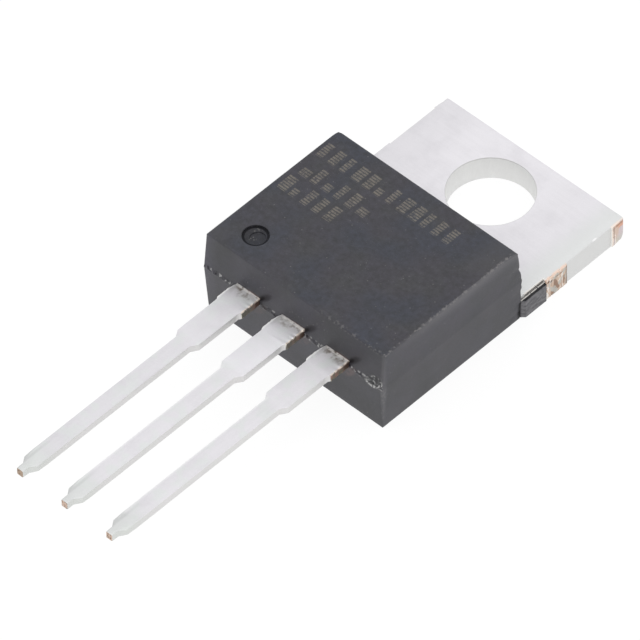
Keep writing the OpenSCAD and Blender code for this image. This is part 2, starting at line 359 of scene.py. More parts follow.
def open_edges(mesh, node):
    """The outward edges of a piece that show."""
    return [
        edge for edge in mesh.edges
        if edge.is_manifold and edge.calc_face_angle_signed() > SHARP
        and shows((edge.verts[0].co + edge.verts[1].co) / 2, node)
    ]


# %% [markdown]
# A face needs points of its own before it can be dented, rolled or roughened. The faces that one
# needs are cut across by a row of flat planes. A face that looks along the row's own axis is left
# alone, because a plane could only shave a sliver from it.

# %% Cut faces into cells
def cut_across(mesh, axis, places, picked):
    """Cuts the picked faces by planes across an axis: 0, 1 or 2 for X, Y or Z."""
    direction = Vector([float(index == axis) for index in range(3)])
    faces = [
        face for face in mesh.faces
        if abs(face.normal[axis]) < 0.7 and picked(face.calc_center_median())
    ]
    edges = {edge for face in faces for edge in face.edges}
    cells = faces + list(edges) + list({vertex for edge in edges for vertex in edge.verts})
    for place in places:
        cells = bmesh.ops.bisect_plane(
            mesh, geom=cells, dist=1e-4, plane_co=direction * place, plane_no=direction,
        )["geom"]


def steps(low, high, step):
    """Even places from low to high, about step apart."""
    count = max(1, round((high - low) / step))
    return [low + (high - low) * index / count for index in range(count + 1)]


# %% [markdown]
# Three more tools finish every dressed piece. Edges get a narrow bevel. The skin is pushed in and
# out by noise that depends only on the place, so each run gives the same dents. At last the mesh is
# turned back into metres and takes the place of its solid. A Displace modifier could roughen the
# skin too, but the points where another piece lies against this one must not move, and one test
# in the loop spares them.

# %% Round edges and roughen a skin


def round_edges(mesh, edges, radius, segments=3):
    """Rounds edges with a narrow bevel."""
    bmesh.ops.bevel(
        mesh, geom=edges, offset=radius, offset_type="OFFSET", segments=segments, profile=0.5,
        affect="EDGES", clamp_overlap=True, loop_slide=True,
    )


def roughen(mesh, node, depth, size):
    """Moves the points that show in and out by up to a depth, in patches of a size."""
    mesh.normal_update()
    for vertex in mesh.verts:
        if vertex.co.z > WELD and shows(vertex.co, node):
            vertex.co += vertex.normal * depth * noise.noise(vertex.co / size)


# %% Set a piece down
CREASED = radians(40)


def set_down(mesh, name, node, finishes):
    """Makes the finished mesh the visible piece of a node."""
    mesh.normal_update()
    for face in mesh.faces:
        face.smooth = True
    for edge in mesh.edges:
        edge.smooth = edge.smooth and edge.calc_face_angle(0) < CREASED
    mesh.transform(Matrix.Scale(MM, 4))
    data = bpy.data.meshes.new(name)
    mesh.to_mesh(data)
    mesh.free()
    for finish in finishes:
        data.materials.append(finish.material)
    piece = bpy.data.objects.new(name, data)
    bpy.context.scene.collection.objects.link(piece)
    piece.modifiers.new("even_shading", "WEIGHTED_NORMAL").keep_sharp = True
    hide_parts(node)
    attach(piece, "root")
    print(name, "has", len(data.polygons), "faces")


# %% [markdown]
# Wear and stains keep to a part's own edges, so most of their places are counted from the boxes
# of the solids. The others are plain distances from the middle of the hole, where the frame of
# the part starts. The leads of this kind of package always stand a tenth of an inch apart.

# %% Take the main measures from the frame
body_low, body_high = [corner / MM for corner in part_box("moulded_body")]
lead_low, lead_high = [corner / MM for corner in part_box("ground_lead")]
tab_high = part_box("heatsink_tab")[1] / MM
FRONT = body_low.y
TOP = body_high.z
PARTING = lead_low.z
LEAD_TOP = lead_high.z
LEAD_TIP = lead_low.y
TAB_END = tab_high.y
PITCH = 2.54
print("The parting line is", round(PARTING, 2), "mm up")
print("The leads end at Y =", round(LEAD_TIP, 2), "mm")

# %% [markdown]
# The body is black epoxy, filled with fused silica and moulded in a spark-eroded tool. It is not
# really black: the filler makes it a dark grey, with a fine grain and scattered pale grains where
# the skin is rubbed. An image texture could show that, but noise worked out from the place on the
# part has no seams and fits at any distance. The bump is kept low, since the grain is only felt.

# %% Mix the epoxy
epoxy = Finish("moulded_epoxy")
top_face = epoxy.nz.ramp(0.5, 0.95)
front_face = epoxy.ny.ramp(-0.5, -0.9)
side_face = abs(epoxy.nx).ramp(0.5, 0.9)
grain = epoxy.noise(0.055, 3.0, roughness=0.7)
mottle = epoxy.noise(0.2, 3.0, roughness=0.6)
cloud = epoxy.noise(1.5, 3.0)
tint = epoxy.noise(2.4, 1.0)
skin = epoxy.colour(54, 52, 62).toward(rgb(57, 57, 62), cloud.ramp(0.4, 0.7))
skin = skin.toward(rgb(44, 50, 66), tint.ramp(0.42, 0.68) * (0.2 + 0.55 * top_face))
skin = skin * (0.7 + 0.5 * grain + (mottle - 0.5) * (0.5 + 1.2 * top_face))

# %% Paint shade on the faces, and pale patches on the top
# Two patches of the top are paler.
paler_top_patches = 0.4 * epoxy.x.ramp(-3.9, -4.7) * epoxy.y.ramp(-10.2, -11.6)
paler_top_patches = paler_top_patches + 0.5 * epoxy.x.ramp(3.4, 4.6) * epoxy.y.ramp(-6.8, -5.0)
# The whole top gets painted shade.
skin = skin.toward(rgb(74, 73, 77), paler_top_patches * top_face) * (1 - 0.3 * top_face)
# The front face gets painted shade: least at its left corner, more towards its right part and its
# foot.
painted_front_shade = 0.24 * epoxy.x.ramp(-5.0, -4.3) + 0.2 * epoxy.x.ramp(0.8, 2.4)
painted_front_shade = painted_front_shade + 0.16 * epoxy.x.within(-4.2, -3.6, 0.5)
painted_front_shade = painted_front_shade + 0.16 * epoxy.z.ramp(1.8, 0.8) * epoxy.x.ramp(-1.0, 1.0)
# Each side gets painted shade, deeper on its lower part.
painted_side_shade = 0.05 + 0.3 * epoxy.z.ramp(TOP - 0.9, TOP - 2.2)
skin = skin * (1 - painted_front_shade * front_face) * (1 - painted_side_shade * side_face)

# %% [markdown]
# Handling leaves its traces on such a body: pale grains of filler show through here and there, most
# of all along the edges of the marked face, where one part rubs against the next in its tube. A
# Pointiness node could find the edges, but what it finds depends on the cells that the mesh is cut
# into, so here they are told by their place.

# %% Rub the edges and scatter the filler grains
SIDE_EDGE = 5.12
FRONT_EDGE = FRONT + 0.18
FILLER = rgb(122, 120, 118)

skin = skin.toward(FILLER, epoxy.specks(0.24, 0.035, 0.16) * 0.4)
skin = skin.toward(FILLER, epoxy.specks(0.11, 0.018, 0.18) * 0.3)
# The upper part of the right side is paler, most towards the back.
paler_upper_side = epoxy.z.ramp(TOP - 1.0, TOP) * epoxy.nx.ramp(0.2, 0.7)
skin = skin.toward(rgb(86, 85, 89), 0.85 * paler_upper_side * paler_upper_side * epoxy.y.ramp(-12.3, -7.5))
below_top = TOP - epoxy.z
by_side = (abs(epoxy.x - SIDE_EDGE) + below_top).ramp(0.13, 0.02)
by_front = (abs(epoxy.y - FRONT_EDGE) + below_top).ramp(0.2, 0.05) * epoxy.x.ramp(0.5, 2.5)
chipped = epoxy.noise(0.13, 2.0, roughness=0.6).ramp(0.51, 0.61)
chips = by_side * (0.04 + 0.5 * chipped) + by_front * 0.27 * chipped
skin = skin.toward(rgb(132, 129, 128), chips)
corner = epoxy.x.ramp(4.93, 5.1) * epoxy.y.ramp(FRONT + 0.35, FRONT + 0.1)
skin = skin.toward(rgb(92, 91, 94), corner * (0.35 + 0.5 * chipped * epoxy.z.ramp(2.8, 2.3)))

# %% [markdown]
# A laser burns the marking about a hundredth of a millimetre deep, by drawing close lines that turn
# the black skin a brownish grey. Here three rows of plain hatched blocks stand for such marking.
# Blocks could be cut from the mesh, but so shallow a mark only changes the colour.

# %% Burn the rows of blocks
BLOCK_PITCH = 0.65
BLOCK_TALL = 0.84
HATCH = 0.14
ROWS = [(-4.75, -5.55, 12), (-4.55, -6.82, 6), (-4.7, -7.95, 5)]

burnt = 0.0
for left, foot, count in ROWS:
    along = (epoxy.x - left) * (1 / BLOCK_PITCH)
    cell = along.node("Math", {"operation": "FLOOR"}, {0: along})
    chance = along.node("TexWhiteNoise", {"noise_dimensions": "1D"}, {"W": cell + foot})
    inside = (along - cell - (0.45 + 0.3 * chance)).ramp(0.05, -0.05)
    rise = (epoxy.y - foot) * (1 / BLOCK_TALL)
    tall = 1 - 0.5 * (chance * 7.0).wrap(0.0, 1.0).ramp(0.66, 0.68)
    row = along.within(0.0, count, 0.01) * rise.ramp(-0.04, 0.0) * (rise - tall).ramp(0.04, 0.0)
    burnt = row * inside + burnt
line = abs((epoxy.y * (1 / HATCH)).wrap(-0.5, 0.5)).ramp(0.47, 0.2)
broken = epoxy.noise(0.13, 3.0, roughness=0.75).ramp(0.3, 0.62)
burnt = burnt * line * broken * epoxy.z.ramp(TOP - 0.03, TOP - 0.01)
skin = skin.toward(rgb(126, 119, 107), burnt * 0.65)
print("The laser has burnt", len(ROWS), "rows of", [count for _, _, count in ROWS], "blocks")

# %% [markdown]
# The ejector pin leaves a shallow round mark. Its inside gets painted shade, darkest along its wall.
# Beside each lead the lead end of the body gets a painted shadow above the parting line, and a
# painted reflection of the copper below it. The flash along that line is thin enough to look pale.
# One spot could be painted for each lead, but they are alike, so a wrapped coordinate repeats it.

# %% Paint shade into the ejector pin's mark
MARK_X = -3.4
MARK_Y = FRONT + 1.45
MARK_R = 0.585

from_mark = distance(epoxy.x - MARK_X, epoxy.y - MARK_Y)
in_mark = from_mark.ramp(MARK_R + 0.05, MARK_R - 0.04) * epoxy.z.ramp(TOP - 0.2, TOP - 0.15)
# The inside of the mark gets painted shade, most along its wall.
wall = from_mark.within(MARK_R - 0.1, MARK_R - 0.01, 0.03) * in_mark
painted_hollow_shade = 0.32 * in_mark + 0.42 * wall
skin = skin.toward(FILLER, in_mark * epoxy.specks(0.15, 0.05, 0.34) * 0.6)

# %% Paint shadow and a copper reflection beside the roots of the leads
LEFT_OF_LEAD = 0.8
SLANT = 0.77

from_lead = epoxy.x.wrap(-LEFT_OF_LEAD, PITCH - LEFT_OF_LEAD)


def slanted_spot(x, z, length, width):
    """A soft slanting spot on the lead end, x from each lead's middle and z above the table."""
    across = from_lead - x
    up = (epoxy.z - z - SLANT * across) * (1 / width)
    across = across * (1 / length)
    spot = (across * across + up * up).ramp(1.0, 0.0)
    return spot * front_face * epoxy.x.ramp(-PITCH - 0.6, -PITCH)


# Above the parting line beside each lead the body gets a painted shadow.
painted_hollow_shade = painted_hollow_shade + 0.4 * slanted_spot(0.98, 3.16, 0.46, 0.27) + 0.35 * slanted_spot(0.8, 3.0, 0.22, 0.16)
# Below it the body gets a painted reflection of the copper stub.
copper_reflection = slanted_spot(0.7, 2.28, 0.5, 0.38) * epoxy.noise(0.4, 2.0).ramp(0.3, 0.55)
skin = skin.toward(rgb(120, 92, 85), copper_reflection * (0.14 + 0.14 * epoxy.x.ramp(2.0, 3.0)))
above = epoxy.z.within(LEAD_TOP, LEAD_TOP + 0.03, 0.06) * from_lead.within(0.1, 0.6, 0.2)
above = above * epoxy.x.within(-PITCH - 0.7, PITCH + 0.7, 0.1) * front_face
skin = skin.toward(rgb(106, 78, 68), above * 0.5)

# %% Colour the flash, with painted shade between its crumbs
on_end = epoxy.ny.ramp(-0.3, -0.6)
wander = 0.16 * (epoxy.noise(0.7, 1.0) - 0.5)
along_flash = abs(epoxy.z - PARTING - 0.09 - wander).ramp(0.17, 0.07) * on_end
crumb = epoxy.noise(0.19, 2.0)
# Between the crumbs of flash the skin gets painted shade.
painted_hollow_shade = painted_hollow_shade + 0.5 * along_flash * crumb.ramp(0.47, 0.37)
skin = skin.toward(rgb(150, 150, 150), along_flash * crumb.ramp(0.55, 0.62) * 0.85)

# %% [markdown]
# One flake of flash has curled up at the right corner of the lead end. Its rim is thin and pale,
# and it shades the skin inside it. The colour and the mesh have to agree on where it is, so one
# function gives a place as seen from the flake, and both use it.

# %% Show the curled flake
CURL_X, CURL_Z = 4.66, 2.79
CURL_WIDE, CURL_TALL = 0.46, 0.34
CURL_TILT = 0.33


def in_curl(x, z):
    """A place on the lead end as seen from the flake's middle: its rim is at a distance of 1."""
    across = x - CURL_X
    return across * (1 / CURL_WIDE), (z - CURL_Z - CURL_TILT * across) * (1 / CURL_TALL)


off_x, off_z = in_curl(epoxy.x, epoxy.z)
from_curl = distance(off_x, off_z)
ring = (from_curl + 0.35 * (epoxy.noise(0.25, 2.0) - 0.5)).within(0.86, 1.02, 0.1)
flake = ring * off_z.ramp(0.35, -0.3)
bits = epoxy.noise(0.14, 1.0)
flake = flake * bits.ramp(0.3, 0.52) + from_curl.ramp(0.95, 0.75) * bits.ramp(0.56, 0.64) * 0.6
painted_hollow_shade = painted_hollow_shade + 0.35 * from_curl.ramp(1.0, 0.8) * on_end * bits.ramp(0.5, 0.42)
skin = skin.toward(rgb(52, 52, 54), from_curl.ramp(1.0, 0.85) * on_end * 0.7)
skin = skin.toward(rgb(172, 172, 171), flake * on_end * 0.85)

# %% [markdown]
# An ear of moulding stands beside the neck on each side. Both were rubbed when the part was cut from
# its strip, so they are a lighter grey with a pale strip along the neck. The edge outside that strip
# gets painted shade, and the narrow recess between the ear and the body gets deeper painted shade.

# %% Show the rubbed ears
EAR_START = -3.54
EAR_TOP = 1.03

on_ear = epoxy.y.ramp(EAR_START - 0.02, EAR_START + 0.06)
scuffed = epoxy.noise(0.18, 3.0, epoxy.place * (1.0, 0.5, 1.6), 0.7).ramp(0.35, 0.65)
skin = skin.toward(rgb(105, 104, 107), on_ear * (0.22 + 0.7 * scuffed))
ear_top = on_ear * epoxy.z.ramp(EAR_TOP - 0.03, EAR_TOP - 0.005)
pale_strip = ear_top * abs(epoxy.x).ramp(5.02, 4.99) * epoxy.noise(0.2, 2.0).ramp(0.3, 0.42)
skin = skin.toward(rgb(232, 228, 222), pale_strip * 0.9)
# The ear's outer top edge and the recess behind the ear get painted shade.
ear_rim_shade = ear_top * abs(epoxy.x).ramp(5.0, 5.03)
recess_shade = epoxy.y.ramp(EAR_START - 0.24, EAR_START - 0.08)
recess_shade = recess_shade * epoxy.y.ramp(EAR_START + 0.05, EAR_START) * epoxy.z.ramp(EAR_TOP + 0.1, EAR_TOP)
painted_hollow_shade = painted_hollow_shade + 0.75 * ear_rim_shade + 0.85 * recess_shade

# %% [markdown]
# Light that falls into a crack or a hollow doesn't come out, so the dark of the cracks, hollows and
# recesses is painted shade. A dark colour alone leaves its gloss, and gloss can't be varied over a
# surface in the exported model. Black metal has neither colour nor gloss, so the painted shade is
# made of it.

# %% Make the painted shade black metal and finish the epoxy
# Where the painted shade lies, the colour turns black and the surface metal.
epoxy.set("Base Color", skin * (1 - 0.95 * painted_hollow_shade))
epoxy.set("Metallic", painted_hollow_shade)
epoxy.set("Roughness", 0.42 + 0.2 * cloud)
epoxy.set("IOR", 1.6)
epoxy.set("Normal", epoxy.bump(grain, 0.008))
print("The epoxy has", len(epoxy.tree.nodes), "nodes")

# %% [markdown]
# The body's skin is cut into cells of a fifth of a millimetre, so that it can be very slightly
# uneven, as moulded epoxy is. Round the ejector pin's mark the cells stay away, because a narrow
# sliver beside its rim would spoil the rounding there. The band along the parting line gets much
# finer cells, for the flash. Subdividing the whole body as finely would cost ten times the faces.

# %% Tell the parts of the body apart
BODY_BACK = -3.6
SKIN_SIDE = 4.8
MARK_ROOM = 0.8
FRONT_DEPTH = 0.16
FLASH_MIDDLE = PARTING + 0.1
FLASH_BAND = 0.48


def on_top(point):
    return point.z > TOP - WELD


def on_skin(point):
    """True on the outside of the body, but not in the room round the ejector mark."""
    inside = (
        abs(point.x) < SKIN_SIDE and FRONT + 0.2 < point.y < BODY_BACK - 0.4
        and WELD < point.z < TOP - 0.1
    )
    round_mark = (
        point.z > TOP - 0.15 and abs(point.x - MARK_X) < MARK_ROOM
        and abs(point.y - MARK_Y) < MARK_ROOM
    )
    return not inside and not round_mark and point.y < BODY_BACK + 0.02


def on_front(point):
    return point.y < FRONT + FRONT_DEPTH


def on_flash_band(point):
    return on_front(point) and abs(point.z - FLASH_MIDDLE) < FLASH_BAND


# %% Cut the body into cells
SKIN_CELL = 0.2
FLASH_CELL = 0.05
FLASH_ROW = 0.06
FLASH_SIDE = 4.98

body = solid_mesh("moulded_body")
cut_across(body, 0, [MARK_X - MARK_ROOM, MARK_X + MARK_ROOM], on_top)
cut_across(body, 1, [MARK_Y - MARK_ROOM, MARK_Y + MARK_ROOM], on_top)
cut_across(body, 0, steps(-SKIN_SIDE, SKIN_SIDE, SKIN_CELL), on_skin)
cut_across(body, 1, steps(FRONT + 0.35, BODY_BACK - 0.5, SKIN_CELL), on_skin)
cut_across(body, 2, steps(0.2, TOP - 0.2, SKIN_CELL), on_skin)
cut_across(body, 2, steps(FLASH_MIDDLE - FLASH_BAND, FLASH_MIDDLE + FLASH_BAND, FLASH_ROW), on_front)
cut_across(body, 0, steps(-FLASH_SIDE, FLASH_SIDE, FLASH_CELL), on_flash_band)
print("The body has", len(body.faces), "cells")

# %% Round and roughen the body
BODY_RADIUS = 0.035
MARK_RADIUS = 0.015
ROUGH_DEPTH = 0.002


def by_mark(edge):
    middle = (edge.verts[0].co + edge.verts[1].co) / 2
    return middle.z > TOP - 0.2 and (middle.xy - Vector((MARK_X, MARK_Y))).length < MARK_R + 0.1


shown = open_edges(body, "moulded_body")
round_edges(body, [edge for edge in shown if by_mark(edge)], MARK_RADIUS, 2)
shown = open_edges(body, "moulded_body")
round_edges(body, [edge for edge in shown if not by_mark(edge)], BODY_RADIUS)
for patch in (0.45, 0.17):
    roughen(body, "moulded_body", ROUGH_DEPTH, patch)

# %% [markdown]
# Where the two halves of the mould meet, a little epoxy creeps out between them and sets as flash:
# a ragged row of crumbs along the lead end, and one curled flake at its right corner. It could be a
# thin piece of its own, but it is part of the same moulding, so it is raised from the skin itself.

# %% Raise the flash
FLASH_HEIGHT = 0.08
FLASH_SPREAD = 0.08
FLASH_REACH = 0.6


def flash_height(x, z):
    """How far the flash stands out of the lead end at a place, in mm."""
    middle = PARTING + 0.08 + 0.12 * noise.noise(Vector((x / 0.6, 0.0, 3.0)))
    crumbs = max(0.0, noise.noise(Vector((x / 0.19, 5.0, z / 0.22))) + 0.12)
    row = crumbs * exp(-((z - middle) / FLASH_SPREAD) ** 2)
    off_x, off_z = in_curl(x, z)
    out = hypot(off_x, off_z) - 1
    low = 1 if off_z < 0.2 else 0.35
    uneven = 0.7 + 0.5 * noise.noise(Vector((x / 0.1, 2.0, z / 0.1)))
    curl = low * uneven * exp(-(out / 0.12) ** 2)
    return FLASH_HEIGHT * max(1.3 * row * (out > 0), curl)


for vertex in body.verts:
    place = vertex.co
    near_line = abs(place.z - PARTING) < FLASH_REACH
    if on_front(place) and near_line and shows(place, "moulded_body"):
        place.y -= flash_height(place.x, place.z)

# %% [markdown]
# The upright edges at the back of the body are nibbled, where thin flash broke away beside the tab.
# A texture could darken them, but they would stay straight in front of the pale tab, where each
# missing crumb shows. So their points are pulled in, in small patches.

# %% Nibble the back edges of the body
NIBBLE = 0.07
NIBBLE_TALL = 0.12

for vertex in body.verts:
    place = vertex.co
    at_edge = place.y > BODY_BACK - 0.5 and abs(place.x) > 4.9 and place.z > WELD
    if at_edge and shows(place, "moulded_body"):
        torn_off = max(0.0, noise.noise(Vector((place.x, 9.0, place.z / NIBBLE_TALL))) + 0.1)
        place.x -= copysign(NIBBLE * torn_off, place.x)
        place.y -= NIBBLE * torn_off

# %% [markdown]
# The photograph shows that the body leans a few hundredths of a millimetre to the right towards its
# top, that its back right corner flares out a little more, and that its back left corner is worn
# round. The ears beside the neck end a tenth of a millimetre lower than drawn. A lattice could bend
# the whole body, but these are small and in different places, so the skin's points are moved.

# %% Lower the ears
EAR_DROP = 0.11
EAR_FOOT = 0.5

for vertex in body.verts:
    place = vertex.co
    if place.y > BODY_BACK + 0.01 and place.z > EAR_FOOT:
        place.z -= EAR_DROP * (place.z - EAR_FOOT) / (EAR_TOP + EAR_DROP - EAR_FOOT)

# %% Lean the sides
WALL_START, WALL_WIDTH = 4.5, 0.5
LEAN_LEFT, LEFT_RATE, LEFT_FOOT = 0.065, 0.043, 0.045
LEAN_RIGHT, RIGHT_FOOT = 0.045, 0.035
FLARE = 0.12
FLARE_START, FLARE_LEN, FLARE_LOW = -4.75, 0.8, 3.1
BACK_DRAFT = 0.33
WORN, WORN_REACH = 0.06, 0.3


def portion(part, whole):
    """A part of a whole, kept between 0 and 1."""
    return min(1.0, max(0.0, part / whole))


for vertex in body.verts:
    place = vertex.co
    by_wall = portion(abs(place.x) - WALL_START, WALL_WIDTH)
    if place.x > 0:
        flare = FLARE * portion(place.y - FLARE_START, FLARE_LEN)
        flare *= max(0.0, (place.z - FLARE_LOW) / (TOP - FLARE_LOW))
        place.x += by_wall * (RIGHT_FOOT + LEAN_RIGHT * place.z / TOP + flare)
        continue
    back_wall = BODY_BACK - BACK_DRAFT * max(0.0, place.z - PARTING) / (TOP - PARTING)
    from_corner = (body_high.x + place.x) + (back_wall - place.y)
    worn_off = WORN * max(0.0, 1 - from_corner / WORN_REACH) if place.z > PARTING else 0.0
    place.x += worn_off + by_wall * min(LEAN_LEFT, LEFT_RATE * place.z - LEFT_FOOT)
    place.y -= worn_off

# %% Set the body down
set_down(body, "epoxy_moulding", "moulded_body", [epoxy])

# %% [markdown]
# Tab and leads are copper with a few micrometres of matt tin. In a white tent matt tin looks almost
# like pale paper, so its character comes from faint clouds, rolling lines and stains in its colour.
# The tab and the leads start from the same plate, which one function gives.

# %% Mix the tin
COPPER = rgb(228, 186, 158)
DARK_COPPER = rgb(146, 118, 100)


def tin_plate(finish, stretch):
    """The colour of matt tin plate with rolling lines, which stretch draws out along one axis."""
    lines = finish.noise(1.0, 3.0, finish.place * stretch, 0.6)
    clouds = finish.noise(1.3, 3.0, roughness=0.6)
    grains = finish.noise(0.07, 2.0, roughness=0.7)
    plate = finish.colour(233, 231, 235).toward(rgb(227, 225, 229), clouds.ramp(0.42, 0.75))
    finish.set("Metallic", 0.7)
    finish.set("Roughness", 0.46 + 0.16 * clouds)
    finish.set("Normal", finish.bump(lines + grains, 0.004))
    return plate * (0.93 + 0.07 * lines + 0.07 * grains)


# %% Plate the tab
HALF_TAB = 5.02
TAB_TOP = 1.25

tab_tin = Finish("tinned_tab_plate")
side = abs(tab_tin.x)
height = tab_tin.z
# The plate gets painted shade towards the tab's left end, and a painted sheen in the middle of its
# top. Towards the right side it is greyer.
plate = tin_plate(tab_tin, (0.35, 7.0, 7.0)) * (1 - 0.045 * tab_tin.x.ramp(-2.5, -5.0))
plate = plate * (1 + 0.03 * tab_tin.x.within(-2.2, 1.2, 1.5) * tab_tin.nz.ramp(0.5, 0.9))
plate = plate.toward(rgb(226, 228, 227), tab_tin.x.ramp(3.5, 4.7) * 0.8)

# %% [markdown]
# The tab is sheared from its strip after plating, at a tie bar on each side and at its two far
# corners. The shears tear through the copper there: a smooth orange band where the blade enters,
# then upright streaks of copper, dark oxide and smeared tin. At the corners the copper is pinker and
# folded over along one line. Streaks need one direction, so their noise is stretched along Z.

# %% Tear the copper of the tie stubs
TIE_NEAR, TIE_FAR = -2.1, -0.8

upright = tab_tin.noise(1.0, 3.0, tab_tin.place * (4.5, 4.5, 1.3), 0.6, 1.1)
smear = tab_tin.noise(0.4, 2.0, distortion=1.0)
torn = tab_tin.colour(208, 186, 168).toward(DARK_COPPER, upright.ramp(0.46, 0.38) * 0.9)
torn = torn.toward(rgb(232, 226, 220), upright.ramp(0.53, 0.59))
torn = torn.toward(rgb(190, 190, 184), smear.ramp(0.5, 0.6) * 0.85)
torn = torn.toward(rgb(104, 78, 62), tab_tin.specks(0.3, 0.08, 0.3) * height.ramp(0.3, 0.7))
entry = height.ramp(TAB_TOP - 0.22, TAB_TOP - 0.08)
reach = 0.35 + 0.35 * tab_tin.y.ramp(TIE_FAR - 0.8, TIE_FAR - 0.3)
torn = torn.toward(COPPER, entry * tab_tin.noise(0.3, 2.0).ramp(0.3, 0.5) * reach)
under = height.within(TAB_TOP - 0.33, TAB_TOP - 0.28, 0.03)
under = under * tab_tin.noise(0.25, 2.0).ramp(0.42, 0.56)
torn = torn.toward(rgb(140, 98, 68), under * 0.7)
torn = torn.toward(rgb(108, 86, 74), tab_tin.y.ramp(TIE_FAR - 0.07, TIE_FAR - 0.02) * 0.6)

# %% Fold the copper of the corner stubs
CORNER_NEAR = 1.95

on_corner = (tab_tin.y + 0.12 * (smear - 0.5)).ramp(CORNER_NEAR, CORNER_NEAR + 0.05)
into = tab_tin.y - CORNER_NEAR - 0.06 + 0.16 * (smear - 0.5)
pink = tab_tin.colour(214, 192, 178)
pink = pink.toward(rgb(212, 200, 202), (into + 0.5 * smear).ramp(0.5, 0.85))
pink = pink.toward(rgb(204, 206, 198), height.ramp(0.5, 0.15) * 0.6)
line = height.within(0.98, 1.07, 0.05) * (0.25 + 0.75 * into.ramp(0.12, 0.26))
pink = pink.toward(rgb(182, 138, 112), line * 0.9)
knot = height.within(0.82, 0.93, 0.06) * into.ramp(0.3, 0.42)
pink = pink.toward(rgb(222, 170, 142), knot * 0.85)
fold = tab_tin.colour(160, 140, 127).toward(rgb(192, 180, 182), height.ramp(0.6, 0.2))
pink = pink.toward(fold, into.within(0.07, 0.11, 0.04) * 0.8)
pink = pink.toward(rgb(248, 232, 219), into.ramp(0.07, 0.02))
pink = pink.toward(rgb(246, 236, 228), into.within(0.16, 0.18, 0.03) * height.ramp(0.7, 0.5) * 0.8)

# %% Lay the bare copper into the plate
torn = torn.toward(pink, on_corner)
on_tie = tab_tin.y.within(TIE_NEAR - 0.02, TIE_FAR + 0.02, 0.02)
flat_end = side.ramp(HALF_TAB - 0.06, HALF_TAB - 0.04) * abs(tab_tin.nx).ramp(0.4, 0.7)
bared = on_tie * side.ramp(HALF_TAB, HALF_TAB + 0.02) + on_corner * flat_end
bared = bared * (1 - tab_tin.x.ramp(1.0, -1.0) * tab_tin.nz.ramp(0.0, 0.3))
lip = side.ramp(HALF_TAB - 0.07, HALF_TAB - 0.01) * entry * (on_tie + on_corner)
lip = lip * tab_tin.noise(0.15, 2.0).ramp(0.35, 0.5) * tab_tin.x.ramp(0.0, 1.0)
plate = plate.toward(torn, bared).toward(rgb(246, 222, 206), lip * 0.8)
burr = on_corner * tab_tin.nz.ramp(0.25, 0.6) * side.ramp(HALF_TAB - 0.06, HALF_TAB - 0.01)
plate = plate.toward(rgb(250, 239, 229), burr * tab_tin.x.ramp(0.0, 1.0) * 0.85)

# %% [markdown]
# The hole is punched before plating, so its wall shows the same upright lines under the tin, and a
# thin darker line where the punch went in. The sheared sides of the tab are a little duller than its
# rolled faces, and they get painted shade that grows as the rolled edge turns down. The small step
# where a corner stub starts gets a painted highlight.

# %% Finish the hole and the sides
HOLE_R = 1.92

in_hole = distance(tab_tin.x, tab_tin.y).ramp(HOLE_R + 0.03, HOLE_R)
punched = tab_tin.colour(229, 229, 228) * (0.95 + 0.1 * upright)
punched = punched * (1 - 0.2 * height.ramp(TAB_TOP - 0.06, TAB_TOP - 0.03))
plate = plate.toward(punched, in_hole)
# The sheared sides are duller, and the paint also darkens them as the rolled edge turns down:
# painted shade.
sheared_and_shaded = abs(tab_tin.nx).ramp(0.15, 0.85) * side.ramp(4.3, 4.6) * (1 - bared)
plate = plate.toward(rgb(215, 215, 214), sheared_and_shaded * 0.85)
# The step where a corner stub starts gets a painted highlight.
step = tab_tin.ny.ramp(-0.4, -0.7) * side.ramp(HALF_TAB - 0.01, HALF_TAB) * tab_tin.y.ramp(1.7, 1.8)
plate = plate.toward(rgb(255, 252, 247), step * 0.9)

# %% [markdown]
# Two small marks make the tab this one tab: a broken line of moulding left along the neck's side,
# just above the ear, and a nick in the right edge, half way between the two stubs. The neck's side
# above the ear gets a painted highlight, and the nick is shown only by a painted highlight.

# %% Mark the neck and the edge
HALF_NECK = 4.92
NICK_X, NICK_Y = 4.98, 0.99
NICK_WIDE, NICK_LONG = 0.045, 0.15

beside = tab_tin.y.within(-3.15, TIE_NEAR, 0.15) * side.ramp(HALF_NECK + 0.03, HALF_NECK)
# The neck's side above the ear gets a painted highlight.
plate = plate.toward(rgb(252, 248, 243), beside * side.ramp(HALF_NECK - 0.03, HALF_NECK - 0.005))
residue = height.within(TAB_TOP - 0.19, TAB_TOP - 0.14, 0.015)
residue = residue * side.ramp(HALF_NECK - 0.03, HALF_NECK - 0.01)
residue = residue * beside * tab_tin.noise(0.2, 2.0).ramp(0.28, 0.4)
plate = plate.toward(rgb(62, 60, 62), residue * 0.9)
off_x, off_y = (tab_tin.x - NICK_X) * (1 / NICK_WIDE), (tab_tin.y - NICK_Y) * (1 / NICK_LONG)
# The nick is a painted highlight on the rolled edge.
nick_highlight = (off_x * off_x + off_y * off_y).ramp(1.2, 0.4) * tab_tin.nz.ramp(0.05, 0.3)
plate = plate.toward(rgb(250, 250, 250), nick_highlight * 0.8)
tab_tin.set("Base Color", plate)
print("The tab's tin has", len(tab_tin.tree.nodes), "nodes")

# %% [markdown]
# A lead shows four more things. Along the body the tin is stained brownish grey by the moulding
# and the acid bath after it. The stub of the dam bar is bare copper on both sides, browner near the
# body. Its cut has a thin golden burr. The end of the lead is cut last, so it is bare too. Each
# lead could have a material of its own, but one serves all three: it measures a place from the
# middle of its own lead, from the body and from the tip.

# %% Plate the leads
lead_tin = Finish("tinned_lead_strip")
across = lead_tin.x.wrap(-PITCH / 2, PITCH / 2)
from_body = FRONT - lead_tin.y
from_tip = lead_tin.y - LEAD_TIP
on_upper = lead_tin.nz.ramp(0.3, 0.8)
